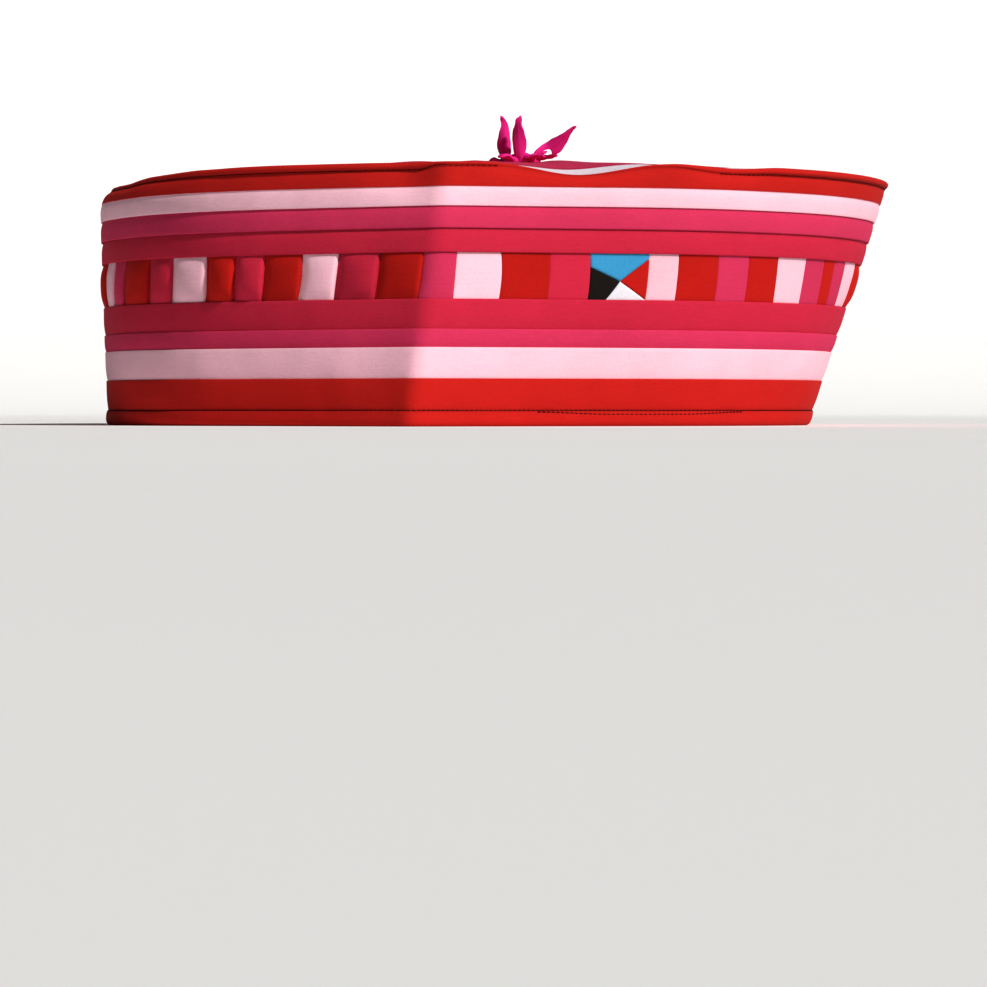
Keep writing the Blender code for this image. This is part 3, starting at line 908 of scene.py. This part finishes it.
def flatness(centre):
    """1 where the patches lie flat, and 0 where they are puffy."""
    begun = smooth((centre - FLAT_START) / FLAT_START_FADE)
    return begun * smooth((FLAT_END - centre) / FLAT_END_FADE)


def patch_rise(from_left, from_right, flat):
    """How far a patch has risen from the seams beside it, from 0 to 1."""
    soft_left = smooth(from_left / PUFFY_LEFT_ROUNDING)
    puffy = min(soft_left, rounded_edge(from_right, PUFFY_RIGHT_ROUNDING))
    return puffy + (rounded_edge(min(from_left, from_right), PATCH_ROUNDING) - puffy) * flat


def patch_shade(from_left, from_right, flat):
    """Painted shade at the seams beside a patch, deeper where it is puffy and most on its left side.
    """
    puffy = max(seam_shade(1.2 * from_left), 0.7 * seam_shade(2.5 * from_right))
    return puffy + (0.25 * seam_shade(min(from_left, from_right)) - puffy) * flat


def add_patch(start, end, low, high, band_length):
    """One patch, tucked under the strips above and below it."""
    section = []
    for row in range(PATCH_ROWS + 1):
        section.append(low - TUCK + (high - low + 2 * TUCK) * row / PATCH_ROWS)
    rows = PATCH_ROWS + 2
    columns = len(PATCH_COLUMNS) - 1
    bm, places, weave, seam = cut_cloth(rows, columns)
    across = [level - low for level in section] + [0, 0]
    mark_weave(bm, places, weave, across, end - start, columns, start=dice.uniform(0, 0.3))
    tone = bm.verts.layers.float["tone"]
    patch_tone = dice.uniform(-1, 1)
    middle = (low + high) / 2
    flat = flatness(from_crease((start + end) / 2, band_length))
    puff = PATCH_PUFF * flat + dice.uniform(*PUFFY_PATCH_PUFF) * (1 - flat)
    groove = PATCH_GROOVE * (1 - 0.7 * flat)
    heavy = 1 + dice.uniform(-0.1, 0.5) * (1 - flat)
    for vert, (row, column) in places.items():
        share = PATCH_COLUMNS[column]
        row = row % rows
        level = section[row] if row <= PATCH_ROWS else section[0]
        up = (level - low) / (high - low)
        left = start + seam_shift(start, up, band_length)
        right = end + seam_shift(end, up, band_length)
        along = left + (right - left) * share
        from_left, from_right = share * (end - start), (1 - share) * (end - start)
        rise = patch_rise(from_left, from_right, flat)
        inside = max(0, 1 - (abs(level - middle) / ((high - low) / 2)) ** 3)
        crown = puff * math.sin(math.pi * share**heavy) ** 0.8 * inside
        offset = SUNK - groove + groove * rise
        offset += crown * rise + PUFFY_RIGHT_LIFT * (1 - flat) * rise * share * inside
        if row > PATCH_ROWS:
            offset = PATCH_BACK
        shade = patch_shade(from_left, from_right, flat)
        # Painted shade: at the side seams, and the shadows of the strips above and below
        vert[seam] = max(shade, seam_shade(high - level), 0.6 * seam_shade(level - low))
        vert[tone] = patch_tone
        vert.co = wall_point(band_turn(along, level, band_length), level, offset)
    bmesh.ops.remove_doubles(bm, verts=bm.verts, dist=MERGE_DISTANCE)
    bmesh.ops.holes_fill(bm, edges=[edge for edge in bm.edges if edge.is_boundary])
    return to_mesh(bm, "patch")


def make_patches(low, high):
    """All the patches, those of one cloth joined in one piece."""
    band_length = perimeter((low + high) / 2)
    seams = patch_seams(band_length)
    cloths = patch_cloths(len(seams) - 1)
    by_cloth = {}
    for start, end, cloth_name in zip(seams[:-1], seams[1:], cloths):
        by_cloth.setdefault(cloth_name, []).append((start, end))
    for cloth_name, spans in by_cloth.items():
        bm = bmesh.new()
        for start, end in spans:
            mesh = add_patch(start, end, low, high, band_length)
            bm.from_mesh(mesh)
            bpy.data.meshes.remove(mesh)
        finish_piece(bm, "patches_" + cloth_name, cloth_name, ["patchwork_band"])


def inside_line(first, second, size):
    """The inward normal of a side of a piece whose corners go anticlockwise."""
    run = Vector(((second[0] - first[0]) * size.x, (second[1] - first[1]) * size.y))
    return Vector((-run.y, run.x)).normalized()


def cut_block_piece(corners, size):
    """A flat piece of the block, its sewn sides as points and normals, and its seam layer.
    Its level sides aren't cut, because they are tucked under the strips."""
    levels = [(size.y + 2 * TUCK) * row / BLOCK_ROWS - TUCK for row in range(BLOCK_ROWS + 1)]
    bm, places, weave, seam = cut_cloth(BLOCK_ROWS, BLOCK_COLUMNS)
    mark_weave(bm, places, weave, levels, size.x, BLOCK_COLUMNS)
    for vert, (row, column) in places.items():
        vert.co = Vector((size.x * column / BLOCK_COLUMNS, levels[row], 0))
    sides = []
    for first, second in zip(corners, corners[1:] + corners[:1]):
        if first[1] == second[1]:
            continue
        normal = inside_line(first, second, size)
        spot = Vector((first[0] * size.x, first[1] * size.y))
        sides.append((spot, normal))
        geometry = bm.verts[:] + bm.edges[:] + bm.faces[:]
        bmesh.ops.bisect_plane(
            bm, geom=geometry, plane_co=spot.to_3d(), plane_no=normal.to_3d(), clear_inner=True
        )
    return bm, sides, seam


def make_block(low, high):
    """Four small pieces of other colours, which meet off the middle of their square."""
    band_length = perimeter((low + high) / 2)
    seams = patch_seams(band_length)
    left_edge = seams[-1] - band_length
    size = Vector((seams[0] - left_edge, high - low))
    for name, cloth_name, corners in BLOCK_PIECES:
        bm, sides, seam = cut_block_piece(corners, size)
        for vert in bm.verts:
            flat = vert.co.xy
            edge = min((flat - spot).dot(normal) for spot, normal in sides)
            rise = rounded_edge(edge, BLOCK_ROUNDING)
            share = flat.y / size.y
            puff = BLOCK_PUFF * max(0, 1 - abs(2 * share - 1) ** 3)
            offset = SUNK - BLOCK_GROOVE + (BLOCK_GROOVE + puff) * rise
            # Painted shade: faint at the sewn sides, and the shadow of the strip above along the top
            vert[seam] = max(0.35 * seam_shade(edge), seam_shade(size.y - flat.y))
            along = left_edge + flat.x
            along += seam_shift(along, share, band_length)
            turn = band_turn(along, low + flat.y, band_length)
            vert.co = wall_point(turn, low + flat.y, offset)
        bm.normal_update()
        bmesh.ops.solidify(bm, geom=bm.faces[:], thickness=BLOCK_THICKNESS)
        finish_piece(bm, name + "_cloth", cloth_name, [name])


def crown_centre():
    return Vector((SIDEWAYS_LEAN + CENTRE_OFFSET, 0)) + PLAN_SHIFT.xy


def gather_height(turn, share):
    """Soft gathers that run to the tuft, deepest next to it."""
    wave = math.cos(math.tau * GATHERS * turn + 1.1 * noise.noise(Vector((9 * turn, 5 * share, 1))))
    second = math.cos(math.tau * 3 * GATHERS * turn + 2.5 * noise.noise(Vector((20 * turn, 1, 4))))
    sharp = 0.75 * wave + 0.25 * abs(wave)
    fine = 0.35 * second * smooth((share - 0.45) / 0.4)
    grow = smooth((share - PALE_RING_SHARE) / GATHERS_RISE) * smooth((1 - share) / GATHERS_FADE)
    return 1.25 * GATHER_DEPTH * (sharp + fine) * grow


def crown_point(turn, share, depth):
    """A point of the crown: share runs from the top edge, 0, to the middle, 1."""
    edge = wall_point(turn, BAND_HEIGHT - ROLL_RADIUS, -STRIP_THICKNESS / 2)
    place, normal = plan_point(turn, BAND_HEIGHT)
    edge -= (normal * (ROLL_WIDENING * ROLL_RADIUS + 0.5 * GAP)).to_3d()
    edge.z += CROWN_THICKNESS / 2
    flat = edge.xy.lerp(crown_centre(), share)
    level = edge.z + (BAND_HEIGHT - edge.z) * smooth(share / DIPS_END)
    rise = DOME_RISE * (1 - (1 - share) ** DOME_FULLNESS)
    length, height = CROWN_WAVE
    uneven = height * noise.noise(Vector((flat.x, flat.y, 0)) / length) * smooth(share / 0.1)
    return Vector((flat.x, flat.y, level + rise + gather_height(turn, share) + uneven - depth))


def make_pale_ring():
    """The pale ring next to the rim."""
    top = []
    for row in range(PALE_RING_ROWS + 1):
        share = PALE_RING_SHARE * row / PALE_RING_ROWS
        dip = PALE_RING_DIP * (1 - rounded_edge(share * HALF_WIDTH, 0.8 * MM))
        dip += PALE_RING_DIP * smooth((share - 0.92 * PALE_RING_SHARE) / (0.08 * PALE_RING_SHARE))
        # Painted shade at both edges, beside the rim and under the gathered centre
        shade = seam_shade((PALE_RING_SHARE - share) * HALF_WIDTH) + seam_shade(share * HALF_WIDTH)
        top.append((share, dip, min(1, shade)))
    top = [PALE_RING_OUTER, top[0], PALE_RING_SHOULDER] + top[1:] + [PALE_RING_INNER]
    section = top + [(share, CROWN_THICKNESS, 0) for share, dip, shade in reversed(top)]
    sew_ring("crown_pale_ring_cloth", "pale_pink", section, ["crown_pale_ring"], place=crown_point)


def centre_section():
    """The gathered centre from its folded edge to its middle and back underneath."""
    shares = [PALE_RING_SHARE + step for step in CENTRE_EDGE]
    start = shares[-1]
    for row in range(1, CROWN_ROWS + 1):
        shares.append(start + (1 - start) * row / CROWN_ROWS)
    section = []
    for share in shares:
        edge = (share - PALE_RING_SHARE) * HALF_WIDTH
        lift = CENTRE_EDGE_LIFT * rounded_edge(edge, CENTRE_EDGE_ROUNDING)
        # Painted shade next to the folded edge, and full painted shade under the fold
        section.append((share, CENTRE_TOP_DEPTH - lift, seam_shade(edge)))
    section += [(share, CROWN_THICKNESS, 0) for share in reversed(shares) if share > CENTRE_BACK_START]
    fold = PALE_RING_SHARE + CENTRE_FOLD
    section += [(fold, CROWN_THICKNESS, 0), (fold, CENTRE_FOLD_DEPTH, 1)]
    section.append((shares[0], CENTRE_FOLD_DEPTH, 1))
    return section


def make_crown_centre():
    """The gathered centre, sewn over the pale ring's inner edge. Its weave runs straight."""
    section = centre_section()
    bm, places, weave, seam = cut_cloth(len(section), CROWN_COLUMNS)
    for face in bm.faces:
        for loop in face.loops:
            row, column = places[loop.vert]
            share = section[row % len(section)][0]
            spot = crown_point(column / CROWN_COLUMNS, share, 0)
            loop[weave].uv = (spot.x, spot.y)
    tone = bm.verts.layers.float["tone"]
    for vert, (row, column) in places.items():
        share, depth, shade = section[row % len(section)]
        vert[seam] = shade
        # Painted shade lowers the whole centre's colour
        vert[tone] = CROWN_SHADED_TONE
        vert.co = crown_point((column % CROWN_COLUMNS) / CROWN_COLUMNS, share, depth)
    finish_piece(bm, "crown_centre_cloth", "magenta", ["crown_centre"])


def petal_rise(petal, share):
    """How steeply the petal rises at a share of its length."""
    root, tip, hook = [math.radians(angle) for angle in (petal.root, petal.tip, petal.hook)]
    return root + (tip - root) * share - hook * smooth((share - HOOK_START) / (1 - HOOK_START))


def petal_frame(petal, outward, share):
    """The middle of a petal's cross-section, its width direction and its own normal."""
    steps = 12
    spot = Vector((0, 0, 0))
    for step in range(steps):
        rise = petal_rise(petal, share * (step + 0.5) / steps)
        heading = outward * math.cos(rise) + Vector((0, 0, math.sin(rise)))
        spot += heading * petal.length * MM * share / steps
    rise = petal_rise(petal, share)
    normal = Vector((0, 0, math.cos(rise))) - outward * math.sin(rise)
    across = Vector((0, 0, 1)).cross(outward)
    twist = math.radians(petal.twist) * smooth(share / TWIST_END)
    width_way = across * math.cos(twist) + normal * math.sin(twist)
    return spot, width_way, normal * math.cos(twist) - across * math.sin(twist)


def petal_width(petal, share):
    """The petal's width there, with soft steps between the widths of its outline."""
    outline = PETAL_OUTLINES[petal.outline]
    place = share * (len(outline) - 1)
    step = min(int(place), len(outline) - 2)
    part = 0.5 * (place - step) + 0.5 * smooth(place - step)
    width = petal.width * MM * (outline[step] + (outline[step + 1] - outline[step]) * part)
    return width * math.sqrt(1 - max(0, (share - ROUND_TIP) / (1 - ROUND_TIP)) ** 2)


def around_eye(row, column):
    """Moves the grid's lines next to the eye outwards in circles, so that it is round."""
    down, across = (row - EYE_ROW) / EYE_HALF_ROWS, (column - EYE_COLUMN) / EYE_HALF_COLUMNS
    square, circle = max(abs(down), abs(across)), math.hypot(down, across)
    if circle == 0:
        return row, column
    scale = 1 + (square / circle - 1) * smooth((2.2 - square) / 1.2)
    return EYE_ROW + EYE_HALF_ROWS * down * scale, EYE_COLUMN + EYE_HALF_COLUMNS * across * scale


def add_petal(petal, outward, middle):
    """One cupped cloth petal, with painted shade along its middle, and a small eye where it is looped.
    """
    bm, places, weave, seam = cut_cloth(PETAL_ROWS, PETAL_COLUMNS)
    across = [petal.length * MM * row / PETAL_ROWS for row in range(PETAL_ROWS + 1)]
    width = petal.width * MM
    mark_weave(bm, places, weave, across, width, PETAL_COLUMNS, start=dice.uniform(0, 0.1))
    ripple = dice.uniform(0, 9)
    root = middle + outward * (0.85 * BUTTON_RADIUS + petal.out * MM)
    for vert, (row, column) in places.items():
        if petal.eye:
            row, column = around_eye(row, column)
        share = row / PETAL_ROWS
        side = 2 * column / PETAL_COLUMNS - 1
        spot, width_way, thick_way = petal_frame(petal, outward, share)
        half_width = petal_width(petal, share) / 2
        cup = PETAL_CUP * side * side * math.sin(math.pi * min(1, 1.2 * share))
        wave = PETAL_WAVE * side * math.sin(8 * share + ripple)
        # Painted shade along the petal's middle and near its root
        vert[seam] = 0.55 * smooth(1 - 3 * abs(side)) + 0.5 * smooth((0.25 - share) / 0.25)
        vert.co = root + spot + width_way * side * half_width + thick_way * (cup + wave)
    if petal.eye:
        eye = []
        for face in bm.faces:
            row = sum(places[vert][0] for vert in face.verts) / 4
            column = sum(places[vert][1] for vert in face.verts) / 4
            if abs(row - EYE_ROW) < EYE_HALF_ROWS and abs(column - EYE_COLUMN) < EYE_HALF_COLUMNS:
                eye.append(face)
        bmesh.ops.delete(bm, geom=eye, context="FACES")
    bmesh.ops.remove_doubles(bm, verts=bm.verts, dist=MERGE_DISTANCE)
    bmesh.ops.recalc_face_normals(bm, faces=bm.faces)
    bmesh.ops.solidify(bm, geom=bm.faces[:], thickness=PETAL_THICKNESS)
    return to_mesh(bm, "petal")


def make_tuft():
    """The cloth button and its ten petals, joined in one piece."""
    middle = (crown_centre() + Vector((TUFT_OFFSET, 0))).to_3d()
    middle.z = crown_point(0, 0.97, 0).z + GAP + BUTTON_HEIGHT / 2
    bm = bmesh.new()
    for layer in ("seam", "tone"):
        bm.verts.layers.float.new(layer)
    bm.loops.layers.uv.new("weave")
    sides = len(PETALS)
    for number, petal in enumerate(PETALS):
        angle = math.tau * (number + 0.5) / sides
        outward = Vector((math.cos(angle), math.sin(angle), 0))
        mesh = add_petal(petal, outward, middle)
        bm.from_mesh(mesh)
        bpy.data.meshes.remove(mesh)
    matrix = Matrix.Translation(middle) @ Matrix.Diagonal((1, 1, BUTTON_FLATNESS, 1))
    made = bmesh.ops.create_uvsphere(
        bm, u_segments=40, v_segments=16, radius=1.12 * BUTTON_RADIUS, matrix=matrix
    )
    for vert in made["verts"]:
        arm = vert.co - middle
        pinch = BUTTON_PINCH * math.cos(sides * math.atan2(arm.y, arm.x))
        pinch *= min(1, arm.xy.length / BUTTON_RADIUS)
        vert.co = middle + arm * (1 + pinch)
    finish_piece(bm, "tuft_cloth", "hot_pink", ["tuft"])


def sew_stitches(name, spans, height_at, offset, stitch):
    """Rows of machine stitches: each is a small long bead that dips into the cloth."""
    bm = bmesh.new()
    for start, end in spans:
        count = round((end - start) / STITCH_PITCH)
        for number in range(count):
            along = start + (end - start) * (number + 0.5) / count
            turn = along / ROUND_LENGTH
            height = height_at(along)
            spot = wall_point(turn, height, offset)
            next_height = height_at(along + LOOK_AHEAD * ROUND_LENGTH)
            ahead = wall_point(turn + LOOK_AHEAD, next_height, offset)
            out = wall_point(turn, height, offset + MM) - spot
            x_way = (ahead - spot).normalized()
            z_way = (out - out.dot(x_way) * x_way).normalized()
            y_way = z_way.cross(x_way)
            turned = Matrix((x_way, y_way, z_way)).transposed().to_4x4()
            half = Vector(stitch) / 2
            matrix = Matrix.Translation(spot) @ turned @ Matrix.Diagonal((*half, 1))
            bmesh.ops.create_uvsphere(bm, u_segments=6, v_segments=5, radius=1, matrix=matrix)
    finish_piece(bm, name, "thread")


def make_stitching():
    """Dark stitches above the hem, with a second row that drifts below it at the right."""
    def upper_row(along):
        return HEM_HEIGHT + 0.12 * MM + 0.10 * MM * noise.noise(Vector((along / (14 * MM), 0, 0)))

    def lower_row(along):
        start, end = SECOND_ROW
        drift = smooth((along - start) / SECOND_ROW_FADE) * smooth((end - along) / SECOND_ROW_FADE)
        return HEM_HEIGHT - 0.20 * MM - SECOND_ROW_DRIFT * drift

    def rim_row(along):
        sway = 0.12 * MM * noise.noise(Vector((along / (6 * MM), 5, 0)))
        return BAND_HEIGHT - 2 * roll_radius(along / ROUND_LENGTH) - 0.10 * MM + sway

    sew_stitches("hem_stitches", [(0, ROUND_LENGTH)], upper_row, -0.02 * MM, HEM_STITCH)
    sew_stitches("hem_stitches_second_row", [SECOND_ROW], lower_row, 0.36 * MM, HEM_STITCH)
    rim_span = (THIN_END, ROUND_LENGTH + RIM_ROW_END)
    sew_stitches("rim_stitches", [rim_span], rim_row, 0.02 * MM, RIM_STITCH)


def make_camera():
    data = bpy.data.cameras.new("camera")
    data.sensor_width = SENSOR
    data.lens = SENSOR * PIXELS_PER_METRE * CAMERA_DISTANCE / PICTURE
    data.clip_start = 10 * MM
    horizon = HEM_PIXEL_Y - CAMERA_HEIGHT * PIXELS_PER_METRE
    data.shift_y = (horizon - PICTURE / 2) / PICTURE
    camera = add_object("camera", data)
    away = Vector((math.sin(CAMERA_AZIMUTH), -math.cos(CAMERA_AZIMUTH), 0)) * CAMERA_DISTANCE
    camera.location = away + Vector((0, 0, CAMERA_HEIGHT))
    camera.rotation_euler = (math.pi / 2, 0, CAMERA_AZIMUTH)
    bpy.context.scene.camera = camera


def make_key_light():
    """Light from far away, which reaches the cap, the floor and the backdrop alike."""
    data = bpy.data.lights.new("key", "SUN")
    data.energy = KEY_STRENGTH
    data.angle = math.radians(KEY_SOFTNESS)
    data.color = KEY_COLOUR
    lamp = add_object("key", data)
    turn, up = math.radians(KEY_AZIMUTH), math.radians(KEY_ELEVATION)
    away = Vector((math.sin(turn) * math.cos(up), -math.cos(turn) * math.cos(up), math.sin(up)))
    lamp.location = away
    lamp.rotation_euler = away.to_track_quat("Z", "Y").to_euler()


def make_studio():
    """A pale floor that curves up far behind the cap, a warm key light and a faint sky."""
    bm = bmesh.new()
    bmesh.ops.create_grid(bm, x_segments=1, y_segments=FLOOR_ROWS, size=FLOOR_HALF_SIZE)
    radius = FLOOR_BEND_RADIUS
    for vert in bm.verts:
        over = vert.co.y - FLOOR_BEND_START
        if over > 0:
            angle = min(over / radius, math.pi / 2)
            rest = over - radius * angle
            vert.co.y = FLOOR_BEND_START + radius * math.sin(angle)
            vert.co.z = radius * (1 - math.cos(angle)) + rest
    mesh = to_mesh(bm, "studio_floor")
    mesh.shade_smooth()
    mesh.materials.append(studio_paper())
    floor = add_object("studio_floor", mesh)

    make_key_light()
    world = bpy.data.worlds.new("studio")
    world.use_nodes = True
    background = world.node_tree.nodes["Background"]
    background.inputs["Color"].default_value = SKY_COLOUR
    background.inputs["Strength"].default_value = SKY_STRENGTH
    bpy.context.scene.world = world
    bpy.context.scene.view_settings.view_transform = "Standard"
    bpy.context.scene.view_settings.exposure = 0
    bpy.context.scene.view_settings.gamma = PICTURE_GAMMA


make_camera()
make_studio()
make_hem()
make_inner_band()
make_strips()
make_top_roll()
make_pale_ring()
make_crown_centre()
make_tuft()
make_stitching()

bpy.context.view_layer.update()
